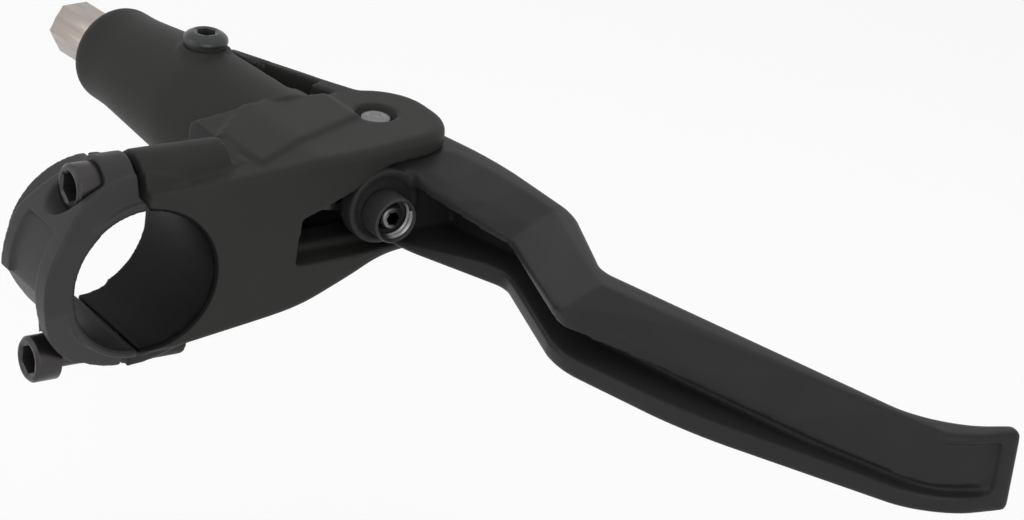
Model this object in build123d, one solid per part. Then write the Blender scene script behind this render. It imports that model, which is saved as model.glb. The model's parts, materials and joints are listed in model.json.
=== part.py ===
from build123d import *
from math import cos, radians, sin, sqrt, tan
import os

# Right-hand hydraulic brake lever, in millimetres. The origin is the middle of the handlebar clamp's bore.
# +X runs along the handlebar towards the grip, +Y forwards to the lever and +Z up, along the lever's pivot.

# Fits
FIT = 0.02            # radial play of a piece that is pressed or screwed in
RUN = 0.05            # radial play of a piece that turns or slides
SIDE_PLAY = 0.3       # gap beside a moving piece
SPAN = 30.0           # reach of a cut that goes right through

# Handlebar clamp
BAR_R = 11.1
CLAMP_W = 14.4
CLAMP_WALL = 4.8
SHOULDER_TOP = 8.0    # height above the bar axis where the band starts to narrow
SHOULDER_LOW = 3.0    # depth below it
SPLIT_GAP = 1.2
EAR_TOP_R = 4.3
EAR_LOW_R = 3.1
EAR_TOP_L = 5.5       # from the split to the upper screw head
EAR_LOW_L = 10.4
TOWER_TOP_L = 17.6
TOWER_LOW_L = 10.6

# Clamp screws and their threaded bushes
SCREW_R = 1.9
SCREW_PLAY = 0.1
SCREW_WEB = 0.3       # wall between screw hole and handlebar bore
HEAD_R = 3.5
HEAD_L = 4.0
HEAD_HEX = 3.0
HEAD_HEX_DEEP = 2.2
INSERT_R = 2.5
INSERT_L = 6.0
INSERT_START = 4.0
SCREW_Z = BAR_R + SCREW_WEB + SCREW_PLAY + SCREW_R

# Lever pivot and fork
PIVOT_X, PIVOT_Y = -3.7, 44.5
LEVER_Z = 7.0         # mid-plane of lever and cylinder
FORK_GAP = 12.6
FORK_R = 9.7
PLATE_TOP_T = 3.1
PLATE_LOW_T = 2.7
PIN_R = 2.5
PIN_SINK_R = 3.2
PIN_SINK = 1.2
CLIP_T = 0.6
CLIP_R = 4.2
CLIP_GROOVE = 0.6
PIN_TAIL = 1.2        # pin below its clip
PIN_PROUD = 0.4       # pin above the floor of its recess
PLATEAU = 0.5
EDGE_R = 1.4          # rounding along the housing's top and bottom edges
WALL_SKIN = 1.8       # side wall over the reach pocket

# Cylinder: its axis runs inboard and slightly back towards the bar
ARM = 10.0            # from pivot to cylinder axis
CYL_TILT = 5.6
PULL = 20.0           # lever travel in degrees
PISTON_R = 4.95
LINER_IN = PISTON_R + RUN
LINER_WALL = 1.0
BORE_R = 7.8          # reservoir bore around the liner
BARREL_R = 10.3
BARREL_END_R = 8.0
BARREL_DROP = 0.4     # its outside sits this much below the cylinder's axis
BARREL_FLARE = (30.0, 51.0)
BARREL_END = 57.4
END_ROUND = 2.6
MOUTH = 9.4
GLAND = (11.2, 15.6)
GLAND_LIP = 0.9
GLAND_LIP_R = 3.2
RING_T = 0.7
RING_IN, RING_OUT = 6.9, 8.4
LINER_END = 50.0
RESERVOIR_END = 41.0
PORT_R = 1.5
THREAD_END = 52.0     # bottom of the hose nut's threaded hole

# Piston, seals, spring and push rod
PISTON = (12.6, 29.0)
BALL_R = 2.6
BALL_PLAY = 0.3
BALL_S = 15.6
SEAL_FLOOR_R = 3.7
SEAL_L = 1.8
SEAL_STARTS = (20.6, 25.6)
SPIGOT_R = 2.3
SPIGOT_L = 2.0
WIRE_R = 0.45
COIL_R = 3.5
COIL_TURNS = 5
ROD_R = 1.4
EYE_R = 3.0
EYE_T = 3.0
ROD_PIN_R = 1.5

# Hose nut, olive and bleed screw
NUT_HEX = 8.0
NUT_R = 4.0
NUT_END = 68.8
NUT_START = 54.6
HOSE_R = 2.55
OLIVE_R = 3.6
BLEED_S = 31.4
BLEED_BOSS_R = 4.1
BLEED_RISE = 0.1      # boss above the barrel's radius
BLEED_R = 2.0
BLEED_PLUG = 2.2      # from the liner to the screw's foot
BLEED_HEAD_R = 3.6
BLEED_HEAD_T = 1.6
BLEED_HEX = 2.5
BLEED_HEX_DEEP = 1.2
O_RING_W = 1.2
O_RING_R = 0.72

# Rocker and lever blade
CHEEK_T = 2.4
BUSH_R = 3.5
BUSH_FLANGE_R = 5.2
BUSH_FLANGE_T = 0.7
ROCKER_HUB_R = 5.4
ROCKER_PLAY = 0.1
ROCKER_FACE = 6.2     # from pivot out to the face under the reach screw
HUB_R = 9.0
HUB_WALL = 3.2
HUB_ROOM = 0.5
DISH_R = 5.9
DISH = (8.3, 10.7)    # wall that carries the reach screw, measured out from the pivot
DISH_BACK = 5.5       # its centre, measured back from the pivot
REACH_Z = 6.2
REACH_R = 2.2
REACH_END = 17.0
REACH_HEX = 2.5
REACH_HEX_DEEP = 3.0
REACH_BUSH_R = 3.1
REACH_BUSH_FLANGE = 1.2
REACH_DOME = 4.0      # radius of the screw's domed inner end
TIP_RIM = 1.8

# Values worked out from those above
FORK_LOW, FORK_HIGH = LEVER_Z - FORK_GAP / 2, LEVER_Z + FORK_GAP / 2
BODY_TOP, BODY_LOW = FORK_HIGH + PLATE_TOP_T, FORK_LOW - PLATE_LOW_T
BLADE_LOW, BLADE_TOP = FORK_LOW + SIDE_PLAY, FORK_HIGH - SIDE_PLAY
LINER_R = LINER_IN + LINER_WALL
PIVOT = (PIVOT_X, PIVOT_Y)
SADDLE_X = PIVOT_X - FORK_R              # inboard side of the housing's web and clamp half
TILT = radians(CYL_TILT)
FOOT = (PIVOT_X + ARM * sin(TILT), PIVOT_Y - ARM * cos(TILT))
LEAD = ARM * tan(radians(PULL / 2))      # the rod's eye starts this far outboard of the foot
EYE = (FOOT[0] + LEAD * cos(TILT), FOOT[1] + LEAD * sin(TILT))
CYL = Plane(origin=(*FOOT, LEVER_Z), x_dir=(0, 0, 1), z_dir=(-cos(TILT), -sin(TILT), 0))
BLEED_TOP = LEVER_Z + BARREL_R + BLEED_RISE
FRONT = PIVOT_Y + FORK_R
POCKET_BACK = PIVOT_Y - 19.8             # rear end of the reach pocket
FROM_BASE = (Align.CENTER, Align.CENTER, Align.MIN)
TO_Y = Rot(-90, 0, 0)
TO_X = Rot(0, 90, 0)

# Outlines of the housing: plan points are (X, Y), side points (Y, Z)
ARM_REAR_TOP = ((0, 13.4), (8, 13.8))
ARM_LEVEL_Y = 27      # from here forwards the top is level
ARM_LOW = ((40, BODY_LOW), (26, -7.4), (5, -12), (0, -12.2))
ARM_SIDE_BENDS = (20, 20, 0.1, 0.1, 20, 40, 10)
ARM_OUTBOARD = ((10.0, 24), (9.3, 35))
ARM_BENDS = (60, 30, 0.93 * FORK_R, 0.93 * FORK_R)
RIM_RISE = 8          # edges that climb more than this aren't rounded
BARREL_BENDS = (40, 40, END_ROUND)
FIELD = ((5.6, 19.4), (PIVOT_X + 0.6, PIVOT_Y - 3.6), (-12.2, PIVOT_Y - 4), (-12.6, 26), (-5, 17))
RIB_R = 1.7
RIB_SHIFT = (1.5, 2.2)                   # rib's end from the bleed screw
RIB_END = (SADDLE_X + 1.2, PIVOT_Y + 0.6)
RIB_LOW, RIB_FLOOR = LEVER_Z + 3, LEVER_Z + 6
POCKET_SIDE = ((10 - WALL_SKIN, POCKET_BACK), (9.1 - WALL_SKIN, PIVOT_Y - 4))
POCKET_WINDOW = ((POCKET_BACK, LEVER_Z + 0.2), (POCKET_BACK - 0.6, FORK_LOW - 1), (3 * SPAN, FORK_LOW - 1),
                 (3 * SPAN, FORK_HIGH), (PIVOT_Y - 4, FORK_HIGH), (PIVOT_Y - 14.5, LEVER_Z + 2))
WINDOW_X = 5          # inner end of the pocket's window

# Outlines of the blade about its pivot: plan points are (X, Y), channel heights (X, Z)
BLADE_FRONT = ((-0.8, 9.2), (14.7, 12.6), (35.4, 12.8), (53.3, 5.2), (109.6, 20.3), (113.6, 31.0))
BLADE_FRONT_BENDS = (30, 9, 8, 6)
BLADE_REAR = ((6.7, -7.5), (17.0, -3.5), (33.6, 3.7), (57.8, -4.2), (80.7, 1.9), (113.4, 19.0), (116.0, 30.4))
BLADE_REAR_BENDS = (6, 8, 9, 60, 6)
CHANNEL_WEB = ((DISH[1], 7.5), (33.0, 8.7), (54.5, 2.2), (73.7, 4.4), (93.7, 11.2), (111.6, 19.7),
               (113.6, 30.0 - TIP_RIM))
CHANNEL_BENDS = (12, 12, 60, 40, 5)
CHANNEL_BEHIND = ((118, 0), (70, -20), (DISH[1], -20))
CHANNEL_OUT = (12, -2)                   # from the web's end out past the tip
CHANNEL_HEIGHT = ((DISH[1], 2.9), (29, 4.0), (48, 3.9), (62, 5.0), (92, 4.6), (125, 4.0), (125, 10.4),
                  (80, 10.4), (64, 9.6), (52, 9.0), (31, 9.2), (DISH[1], 11.0))
REAR_TRIM = ((57.8, -4.2), (73.7, 2.9), (112.0, 18.6), (112, -10), (57.8, -10))
ROOT_TRIM = ((18.4, -2.4), (12.7, 3.5), (DISH[1], 3.5), (DISH[1], -20), (18.4, -20))


def rod(radius, start, end):
    """Round bar along Z from start to end."""
    return Pos(0, 0, start) * Cylinder(radius, end - start, align=FROM_BASE)


def tube(outer, inner, start, end):
    """Round sleeve along Z from start to end."""
    return rod(outer, start, end) - rod(inner, start, end)


def hexagon(across, start, end):
    """Hexagonal bar along Z, by its width across flats."""
    return Pos(0, 0, start) * extrude(RegularPolygon(across / sqrt(3), 6), end - start)


def slab(face, low, high):
    """Plan outline raised from low to high."""
    return Pos(0, 0, low) * extrude(face, high - low)


def side_slab(points, low, high):
    """Outline given as (Y, Z) points, carried along X from low to high."""
    face = make_face(Polyline(*points, close=True))
    return Pos(low, 0, 0) * (Plane.YZ * extrude(face, high - low))


def plan(*points):
    """Straight-sided plan outline."""
    return make_face(Polyline(*points, close=True))


def at_pivot(shape):
    """Moves a shape made about the pivot axis to its place."""
    return Pos(PIVOT_X, PIVOT_Y, 0) * shape


def along_y(shape, x, z):
    """Turns a shape made along Z to run along Y through (x, z)."""
    return Pos(x, 0, z) * TO_Y * shape


def clamp_band(near, far):
    """Half band of the clamp between two Y values, narrowed towards its screw ears."""
    outer = BAR_R + CLAMP_WALL
    half = CLAMP_W / 2
    ring = TO_X * Cylinder(outer, CLAMP_W)
    taper = plan((-half, -SHOULDER_LOW), (-EAR_LOW_R, -outer), (EAR_LOW_R, -outer), (half, -SHOULDER_LOW),
                 (half, SHOULDER_TOP), (EAR_TOP_R, outer), (-EAR_TOP_R, outer), (-half, SHOULDER_TOP))
    window = along_y(extrude(taper, far - near), 0, 0)
    return ring & Pos(0, near, 0) * mirror(window, Plane.XY)


def ear(radius, z, near, far):
    """Screw ear along Y with a web down to the clamp band."""
    web_z = z - (BAR_R if z > 0 else -BAR_R)
    web = Pos(0, (near + far) / 2, z - web_z / 2) * Box(2 * radius, far - near, abs(web_z))
    return along_y(rod(radius, near, far), 0, z) + web


def clamp_cap():
    split = -SPLIT_GAP / 2
    cap = clamp_band(-BAR_R - CLAMP_WALL, split)
    cap += ear(EAR_TOP_R, SCREW_Z, -EAR_TOP_L, split)
    cap += ear(EAR_LOW_R, -SCREW_Z, -EAR_LOW_L, split)
    cap -= TO_X * Cylinder(BAR_R, 2 * CLAMP_W)
    for z, reach in ((SCREW_Z, EAR_TOP_L), (-SCREW_Z, EAR_LOW_L)):
        cap -= along_y(rod(SCREW_R + SCREW_PLAY, -2 * reach, 0), 0, z)
        cap -= along_y(rod(HEAD_R + SCREW_PLAY, -4 * reach, -reach), 0, z)
    return cap


def clamp_screw(seat, z):
    shank_end = INSERT_START + INSERT_L
    screw = rod(HEAD_R, -seat - HEAD_L, -seat) + rod(SCREW_R, -seat, shank_end)
    screw -= hexagon(HEAD_HEX, -seat - HEAD_L, -seat - HEAD_L + HEAD_HEX_DEEP)
    return along_y(screw, 0, z)


def clamp_screws():
    return Compound([clamp_screw(EAR_TOP_L, SCREW_Z), clamp_screw(EAR_LOW_L, -SCREW_Z)])


def clamp_inserts():
    bush = tube(INSERT_R, SCREW_R + FIT, INSERT_START, INSERT_START + INSERT_L)
    return Compound([along_y(bush, 0, z) for z in (SCREW_Z, -SCREW_Z)])


def barrel():
    """Outside of the cylinder, turned about its own axis."""
    flare_start, flare_end = BARREL_FLARE
    outline = FilletPolyline((BARREL_R, MOUTH), (BARREL_R, flare_start), (BARREL_END_R, flare_end),
                             (BARREL_END_R, BARREL_END), (0, BARREL_END), radius=[*BARREL_BENDS])
    face = make_face(outline + Polyline((0, BARREL_END), (0, MOUTH), (BARREL_R, MOUTH)))
    return Pos(0, 0, -BARREL_DROP) * CYL * revolve(Plane.XZ * face, Axis.Z)


def arm_side(rise):
    """Side outline of the web between clamp and fork, with its top raised by rise."""
    top = BODY_TOP + rise
    rear = [(y, z + rise) for y, z in ARM_REAR_TOP]
    side = FilletPolyline(*rear, (ARM_LEVEL_Y, top), (2 * SPAN, top), (2 * SPAN, BODY_LOW), *ARM_LOW,
                          radius=[*ARM_SIDE_BENDS])
    profile = Plane.YZ * make_face(side + Line(ARM_LOW[-1], rear[0]))
    return Pos(-SPAN, 0, 0) * extrude(profile, 2 * SPAN)


def arm():
    """Web between clamp and fork: a plan outline and a side outline cut into each other."""
    start, end = (CLAMP_W / 2, 0), (SADDLE_X, 0)
    outline = FilletPolyline(start, *ARM_OUTBOARD, (PIVOT_X + FORK_R, FRONT), (SADDLE_X, FRONT), end,
                             radius=[*ARM_BENDS])
    web = slab(make_face(outline + Line(end, start)), -SPAN, SPAN) & arm_side(0)
    rims = [edge for edge in web.edges() if edge.center().Y > 1 and edge.bounding_box().size.Z < RIM_RISE]
    return fillet(rims, EDGE_R)


def plateau():
    """Raised field on top of the housing, behind the pivot."""
    return arm_side(PLATEAU) & slab(plan(*FIELD), FORK_HIGH, SPAN)


def saddle_bevel():
    """Corners taken off the inboard end of the housing's clamp half."""
    top = plan((SADDLE_X - 2, 5), (-EAR_TOP_R, 14), (-EAR_TOP_R, SPAN), (SADDLE_X - 2, SPAN))
    low = plan((SADDLE_X - 2, -9), (-EAR_LOW_R, -14), (-EAR_LOW_R, -SPAN), (SADDLE_X - 2, -SPAN))
    return Pos(0, TOWER_TOP_L, 0) * (Plane.XZ * extrude(top + low, 2 * TOWER_TOP_L))


def strut():
    """Rib from the bleed boss to the fork, with the floor of the pocket beside it."""
    screw = bleed_place()
    start = (screw[0] + RIB_SHIFT[0], screw[1] + RIB_SHIFT[1])
    rib = make_hull([*(Pos(*start) * Circle(RIB_R)).edges(), *(Pos(*RIB_END) * Circle(RIB_R)).edges()])
    floor = plan(screw, (RIB_END[0], FOOT[1]), RIB_END, start)
    return slab(rib, RIB_LOW, BODY_TOP) + slab(floor, RIB_LOW, RIB_FLOOR)


def bleed_place():
    return (FOOT[0] - BLEED_S * cos(TILT), FOOT[1] - BLEED_S * sin(TILT))


def fork_space():
    """Room between the fork's plates for lever, rocker and reach screw."""
    mouth_x = FOOT[0] - MOUTH
    room = plan((mouth_x, POCKET_BACK), *POCKET_SIDE, (2 * SPAN, PIVOT_Y - 4), (2 * SPAN, 3 * SPAN),
                (PIVOT_X - 4, 3 * SPAN), (mouth_x, PIVOT_Y))
    room += Pos(*PIVOT) * Circle(HUB_R + HUB_ROOM)
    return slab(room, FORK_LOW, FORK_HIGH) + side_slab(POCKET_WINDOW, WINDOW_X, 2 * SPAN)


def cylinder_bores():
    cut = rod(BORE_R, -2, RESERVOIR_END) + rod(LINER_R + FIT, 0, LINER_END)
    cut += rod(RING_OUT + FIT, GLAND[0] - RING_T - 2 * FIT, GLAND[0])
    cut += rod(PORT_R, 0, BARREL_END) + rod(NUT_R + FIT, THREAD_END, BARREL_END + 1)
    return CYL * cut


def master_body():
    body = clamp_band(SPLIT_GAP / 2, BAR_R + CLAMP_WALL)
    body += arm() + plateau() - saddle_bevel()
    body += ear(EAR_TOP_R, SCREW_Z, SPLIT_GAP / 2, TOWER_TOP_L)
    body += ear(EAR_LOW_R, -SCREW_Z, SPLIT_GAP / 2, TOWER_LOW_L)
    body += barrel()
    body += strut()
    body += Pos(*bleed_place()) * rod(BLEED_BOSS_R, LEVER_Z, BLEED_TOP)
    ahead = Box(10 * SPAN, 10 * SPAN, 10 * SPAN, align=(Align.CENTER, Align.MIN, Align.CENTER))
    body &= Pos(0, SPLIT_GAP / 2, 0) * ahead
    body -= TO_X * Cylinder(BAR_R, 4 * CLAMP_W)
    for z in (SCREW_Z, -SCREW_Z):
        body -= along_y(rod(SCREW_R + SCREW_PLAY, 0, INSERT_START), 0, z)
        body -= along_y(rod(INSERT_R + FIT, INSERT_START, INSERT_START + INSERT_L), 0, z)
    body -= fork_space()
    body -= cylinder_bores()
    body -= at_pivot(rod(PIN_R + FIT, -SPAN, SPAN))
    body -= at_pivot(rod(PIN_SINK_R, BODY_TOP - PIN_SINK, SPAN))
    body -= at_pivot(rod(CLIP_R + SIDE_PLAY, -SPAN, BODY_LOW))
    body -= Pos(*bleed_place()) * rod(BLEED_R + FIT, LEVER_Z + LINER_R, SPAN)
    return body


def pivot_pin():
    low = BODY_LOW - CLIP_T - PIN_TAIL
    pin = rod(PIN_R, low, BODY_TOP - PIN_SINK + PIN_PROUD)
    pin -= tube(2 * PIN_R, PIN_R - CLIP_GROOVE, BODY_LOW - CLIP_T, BODY_LOW)
    return at_pivot(pin)


def pivot_clip():
    inner = PIN_R - CLIP_GROOVE + FIT
    ring = tube(CLIP_R, inner, BODY_LOW - CLIP_T + FIT, BODY_LOW - FIT)
    ring -= Pos(0, -CLIP_R, BODY_LOW - CLIP_T / 2) * Box(2 * inner, 2 * CLIP_R, 2)
    return at_pivot(ring)


def cylinder_liner():
    return CYL * tube(LINER_R, LINER_IN, GLAND[0] + GLAND_LIP + FIT, LINER_END)


def cylinder_gland():
    start, end = GLAND
    gland = tube(BORE_R - FIT, LINER_R + FIT, start, end)
    gland += tube(BORE_R - FIT, GLAND_LIP_R, start, start + GLAND_LIP)
    middle = (start + GLAND_LIP + end) / 2
    gland -= tube(2 * BORE_R, BORE_R - 2 * O_RING_R, middle - O_RING_R - FIT, middle + O_RING_R + FIT)
    return CYL * gland


def gland_o_ring():
    middle = (GLAND[0] + GLAND_LIP + GLAND[1]) / 2
    section = Plane.XZ * Pos(BORE_R - O_RING_R - FIT, middle) * RegularPolygon(O_RING_R - FIT, 8)
    return CYL * revolve(section, Axis.Z)


def gland_clip():
    ring = tube(RING_OUT, RING_IN, GLAND[0] - RING_T - FIT, GLAND[0] - FIT)
    ring -= Pos(RING_OUT, 0, GLAND[0]) * Box(2 * RING_OUT, 3, 4)
    return CYL * ring


def reservoir_diaphragm():
    inner, outer = LINER_R + FIT, BORE_R - FIT
    start, end, bead = GLAND[1] + 1, BLEED_S - BLEED_BOSS_R - 1, 1.2
    sleeve = tube(inner + 0.6, inner, start, end)
    for s in (start, end - bead):
        sleeve += tube(outer, inner, s, s + bead)
    return CYL * sleeve


def hose_nut():
    flange = BARREL_END + FIT
    nut = rod(NUT_R, NUT_START, flange) + hexagon(NUT_HEX, flange, NUT_END)
    return CYL * (nut - rod(HOSE_R, NUT_START - 1, NUT_END + 1))


def hose_olive():
    return CYL * tube(OLIVE_R, HOSE_R, THREAD_END + FIT, NUT_START - FIT)


def bleed_screw():
    seat = BLEED_TOP + O_RING_R
    top = seat + BLEED_HEAD_T
    screw = rod(BLEED_HEAD_R, seat, top) + rod(BLEED_R, LEVER_Z + LINER_R + BLEED_PLUG, seat)
    screw -= hexagon(BLEED_HEX, top - BLEED_HEX_DEEP, top)
    return Pos(*bleed_place()) * screw


def bleed_o_ring():
    return Pos(*bleed_place()) * tube(BLEED_R + O_RING_W, BLEED_R + FIT, BLEED_TOP, BLEED_TOP + O_RING_R)


def rocker():
    half = (BLADE_TOP - BLADE_LOW) / 2 - CHEEK_T - BUSH_FLANGE_T - ROCKER_PLAY
    eye = (EYE[0] - PIVOT_X, EYE[1] - PIVOT_Y)
    face = Circle(ROCKER_HUB_R) + Pos(*eye) * Circle(EYE_R + 0.2)
    face += plan((-ROCKER_HUB_R + 1, 0), (eye[0] - EYE_R, eye[1]), (ROCKER_FACE, eye[1]), (ROCKER_FACE, -2),
                 (4, 2))
    arm_solid = slab(face, LEVER_Z - half, LEVER_Z + half)
    slot = plan((-SPAN, -SPAN), (SPAN, -SPAN), (SPAN, eye[1] + EYE_R + 0.5), (-SPAN, eye[1] + EYE_R + 0.5))
    arm_solid -= slab(slot, LEVER_Z - EYE_T / 2 - ROCKER_PLAY, LEVER_Z + EYE_T / 2 + ROCKER_PLAY)
    arm_solid -= rod(PIN_R + RUN, -SPAN, SPAN)
    arm_solid -= Pos(*eye) * rod(ROD_PIN_R + FIT, -SPAN, SPAN)
    return at_pivot(arm_solid)


def rod_pin():
    half = (BLADE_TOP - BLADE_LOW) / 2 - CHEEK_T - BUSH_FLANGE_T - ROCKER_PLAY
    return Pos(*EYE) * rod(ROD_PIN_R, LEVER_Z - half, LEVER_Z + half)


def push_rod():
    eye = Pos(*EYE) * slab(Circle(EYE_R), LEVER_Z - EYE_T / 2, LEVER_Z + EYE_T / 2)
    shaft = CYL * (rod(ROD_R, -LEAD, BALL_S) + Pos(0, 0, BALL_S) * Sphere(BALL_R))
    return eye + shaft - Pos(*EYE) * rod(ROD_PIN_R + RUN, -SPAN, SPAN)


def piston():
    start, end = PISTON
    shape = rod(PISTON_R, start, end) + rod(SPIGOT_R, end, end + SPIGOT_L)
    cup = BALL_R + BALL_PLAY
    shape -= rod(cup, start - 1, BALL_S) + Pos(0, 0, BALL_S) * Sphere(cup)
    for s in SEAL_STARTS:
        shape -= tube(2 * PISTON_R, SEAL_FLOOR_R, s, s + SEAL_L)
    return CYL * shape


def seal(start):
    """Lip seal: a ring whose outer lip opens towards the fluid."""
    low, high = start + FIT, start + SEAL_L - FIT
    inner, outer = SEAL_FLOOR_R + FIT, LINER_IN - FIT
    lip = (inner + outer) / 2
    outline = Polyline((inner, low), (outer - 0.15, low), (outer, high), (lip + 0.2, high), (lip, high - 0.7),
                       (inner, high - 0.7), close=True)
    return CYL * revolve(Plane.XZ * make_face(outline), Axis.Z)


def piston_spring():
    start, end = PISTON[1] + WIRE_R + FIT, LINER_END - WIRE_R - FIT
    pitch = (end - start) / COIL_TURNS
    path = Pos(0, 0, start) * Helix(pitch, end - start, COIL_R)
    wire = sweep(Plane(path @ 0, z_dir=path % 0) * RegularPolygon(WIRE_R, 6), path)
    return CYL * wire


def blade_face():
    """Plan outline of the whole blade about the pivot."""
    front = FilletPolyline(*BLADE_FRONT, radius=[*BLADE_FRONT_BENDS])
    rear = FilletPolyline(*BLADE_REAR, radius=[*BLADE_REAR_BENDS])
    return make_face(front + Line(front @ 1, rear @ 1) + rear + Line(rear @ 0, front @ 0)) + Circle(HUB_R)


def blade_recess():
    """Channel in the rear of the blade: its plan behind the web, cut to its height along the blade."""
    web = FilletPolyline(*CHANNEL_WEB, radius=[*CHANNEL_BENDS])
    end = web @ 1
    behind = Polyline(end, (end.X + CHANNEL_OUT[0], end.Y + CHANNEL_OUT[1]), *CHANNEL_BEHIND, web @ 0)
    section = Plane.XZ * make_face(Polyline(*CHANNEL_HEIGHT, close=True))
    tall = Pos(0, -2 * SPAN, 0) * extrude(section, 4 * SPAN, dir=(0, 1, 0))
    return slab(make_face(web + behind), 0, SPAN) & tall


def lever_blade():
    arm_solid = slab(blade_face(), BLADE_LOW, BLADE_TOP)
    arm_solid += Pos(0, -DISH_BACK, LEVER_Z) * TO_X * rod(DISH_R, *DISH)
    arm_solid -= slab(plan(*REAR_TRIM), LEVER_Z, SPAN)
    arm_solid -= slab(plan(*ROOT_TRIM), LEVER_Z, SPAN)
    arm_solid -= blade_recess()
    pocket = Circle(HUB_R - HUB_WALL) + plan((-SPAN, -SPAN), (DISH[0], -SPAN), (DISH[0], 0), (-SPAN, 0))
    arm_solid -= slab(pocket, BLADE_LOW + CHEEK_T, BLADE_TOP - CHEEK_T)
    arm_solid -= rod(BUSH_R + FIT, -SPAN, SPAN)
    arm_solid -= Pos(0, -DISH_BACK, REACH_Z) * TO_X * rod(REACH_BUSH_R + FIT, *DISH)
    return at_pivot(arm_solid)


def pivot_bushes():
    low = tube(BUSH_R, PIN_R + RUN, BLADE_LOW, BLADE_LOW + CHEEK_T)
    low += tube(BUSH_FLANGE_R, PIN_R + RUN, BLADE_LOW + CHEEK_T, BLADE_LOW + CHEEK_T + BUSH_FLANGE_T)
    high = tube(BUSH_R, PIN_R + RUN, BLADE_TOP - CHEEK_T, BLADE_TOP)
    high += tube(BUSH_FLANGE_R, PIN_R + RUN, BLADE_TOP - CHEEK_T - BUSH_FLANGE_T, BLADE_TOP - CHEEK_T)
    return Compound([at_pivot(low), at_pivot(high)])


def reach_insert():
    bush = tube(REACH_BUSH_R, REACH_R + RUN, DISH[0], DISH[1] + REACH_BUSH_FLANGE)
    return at_pivot(Pos(0, -DISH_BACK, REACH_Z) * TO_X * bush)


def reach_screw():
    tip = ROCKER_FACE + RUN
    screw = rod(REACH_R, tip, tip + REACH_DOME) & Pos(0, 0, tip + REACH_DOME) * Sphere(REACH_DOME)
    screw += rod(REACH_R, tip + REACH_DOME, REACH_END)
    screw -= hexagon(REACH_HEX, REACH_END - REACH_HEX_DEEP, REACH_END)
    return at_pivot(Pos(0, -DISH_BACK, REACH_Z) * TO_X * screw)


PIECES = {
    "master_body": master_body,
    "clamp_cap": clamp_cap,
    "clamp_screws": clamp_screws,
    "clamp_inserts": clamp_inserts,
    "pivot_pin": pivot_pin,
    "pivot_clip": pivot_clip,
    "cylinder_liner": cylinder_liner,
    "cylinder_gland": cylinder_gland,
    "gland_o_ring": gland_o_ring,
    "gland_clip": gland_clip,
    "reservoir_diaphragm": reservoir_diaphragm,
    "hose_nut": hose_nut,
    "hose_olive": hose_olive,
    "bleed_screw": bleed_screw,
    "bleed_o_ring": bleed_o_ring,
    "rocker": rocker,
    "rod_pin": rod_pin,
    "push_rod": push_rod,
    "piston": piston,
    "secondary_seal": lambda: seal(SEAL_STARTS[0]),
    "primary_seal": lambda: seal(SEAL_STARTS[1]),
    "piston_spring": piston_spring,
    "lever_blade": lever_blade,
    "pivot_bushes": pivot_bushes,
    "reach_insert": reach_insert,
    "reach_screw": reach_screw,
}

os.makedirs("parts", exist_ok=True)
for name, make in PIECES.items():
    export_step(make(), f"parts/{name}.step")
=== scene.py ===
"""Studio scene of a hydraulic bicycle brake lever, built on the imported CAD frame."""
import json
import logging
import math
from dataclasses import dataclass, field
from enum import Enum

import bmesh
import bpy
from mathutils import Matrix, Vector


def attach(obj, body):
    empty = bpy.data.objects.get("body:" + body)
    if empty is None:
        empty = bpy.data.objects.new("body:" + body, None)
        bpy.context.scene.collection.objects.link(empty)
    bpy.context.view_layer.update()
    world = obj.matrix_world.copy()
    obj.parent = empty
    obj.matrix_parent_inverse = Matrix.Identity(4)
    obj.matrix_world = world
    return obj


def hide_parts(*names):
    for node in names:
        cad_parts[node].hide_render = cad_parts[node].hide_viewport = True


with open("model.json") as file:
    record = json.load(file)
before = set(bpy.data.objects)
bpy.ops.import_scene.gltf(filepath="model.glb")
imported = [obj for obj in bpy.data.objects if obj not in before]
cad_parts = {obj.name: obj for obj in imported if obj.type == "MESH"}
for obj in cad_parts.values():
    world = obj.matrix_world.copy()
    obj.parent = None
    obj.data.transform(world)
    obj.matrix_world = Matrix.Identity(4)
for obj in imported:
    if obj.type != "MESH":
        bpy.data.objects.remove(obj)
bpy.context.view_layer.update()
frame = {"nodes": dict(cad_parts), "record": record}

LOG = logging.getLogger("brake_lever")
MM = 0.001
ROUND, HEX = 48, 6                # corners of a ring: a circle, or a hexagon divided as finely
SHARP = math.radians(32)          # an edge that turns more than this is sharp
TRIANGLES = 190_000               # most that one piece may have
OPEN = 10.0                       # cutters that run out of a piece end at a few times this, in millimetres
WELD = 0.002 * MM                 # corners of a work piece that lie closer than this are one
TURNED_WELD = 0.0005 * MM         # the same for a turned piece
SMOOTHING = 0.5                   # how far one step moves a corner towards the middle of its neighbours
CORNER_STEPS = 12                 # faces round a corner of an outline
RIM_STEPS = 4                     # faces across a rounded rim
BREAK_STEPS = 2                   # faces across a broken edge
THREAD_CREST, THREAD_WIDTH = 0.45, 0.9    # a thread's edge and far foot, as shares of its pitch
GRAIN_DETAIL, GRAIN_ROUGHNESS = 3.0, 0.6
RING_STRETCH = (0.06, 0.06, 1.0)  # draws a grain out across Z, into tool rings
CLOUD_MM, CLOUD_DETAIL = 12.0, 2.0        # soft clouds in a colour
ROUGHNESS_SPREAD = 0.06           # how far the grain moves the roughness either way
BUMP_MM = 0.05                    # height of the grain at full strength
BORE_SHADE_FADE = 0.25                  # millimetres over which the painted shade in the bore fades out
WHITE = (1.0, 1.0, 1.0, 1.0)
ORIGIN = (0.0, 0.0, 0.0)
X_AXIS, Y_AXIS, Z_AXIS = (1.0, 0.0, 0.0), (0.0, 1.0, 0.0), (0.0, 0.0, 1.0)
Point = tuple[float, float, float]
Outline = tuple[Point, ...]       # corners by two coordinates and the radius of their rounding


class Body(str, Enum):
    """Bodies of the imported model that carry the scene's own pieces."""

    HOUSING = "housing"
    LEVER = "lever"
    REACH_SCREW = "reach_screw"


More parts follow.
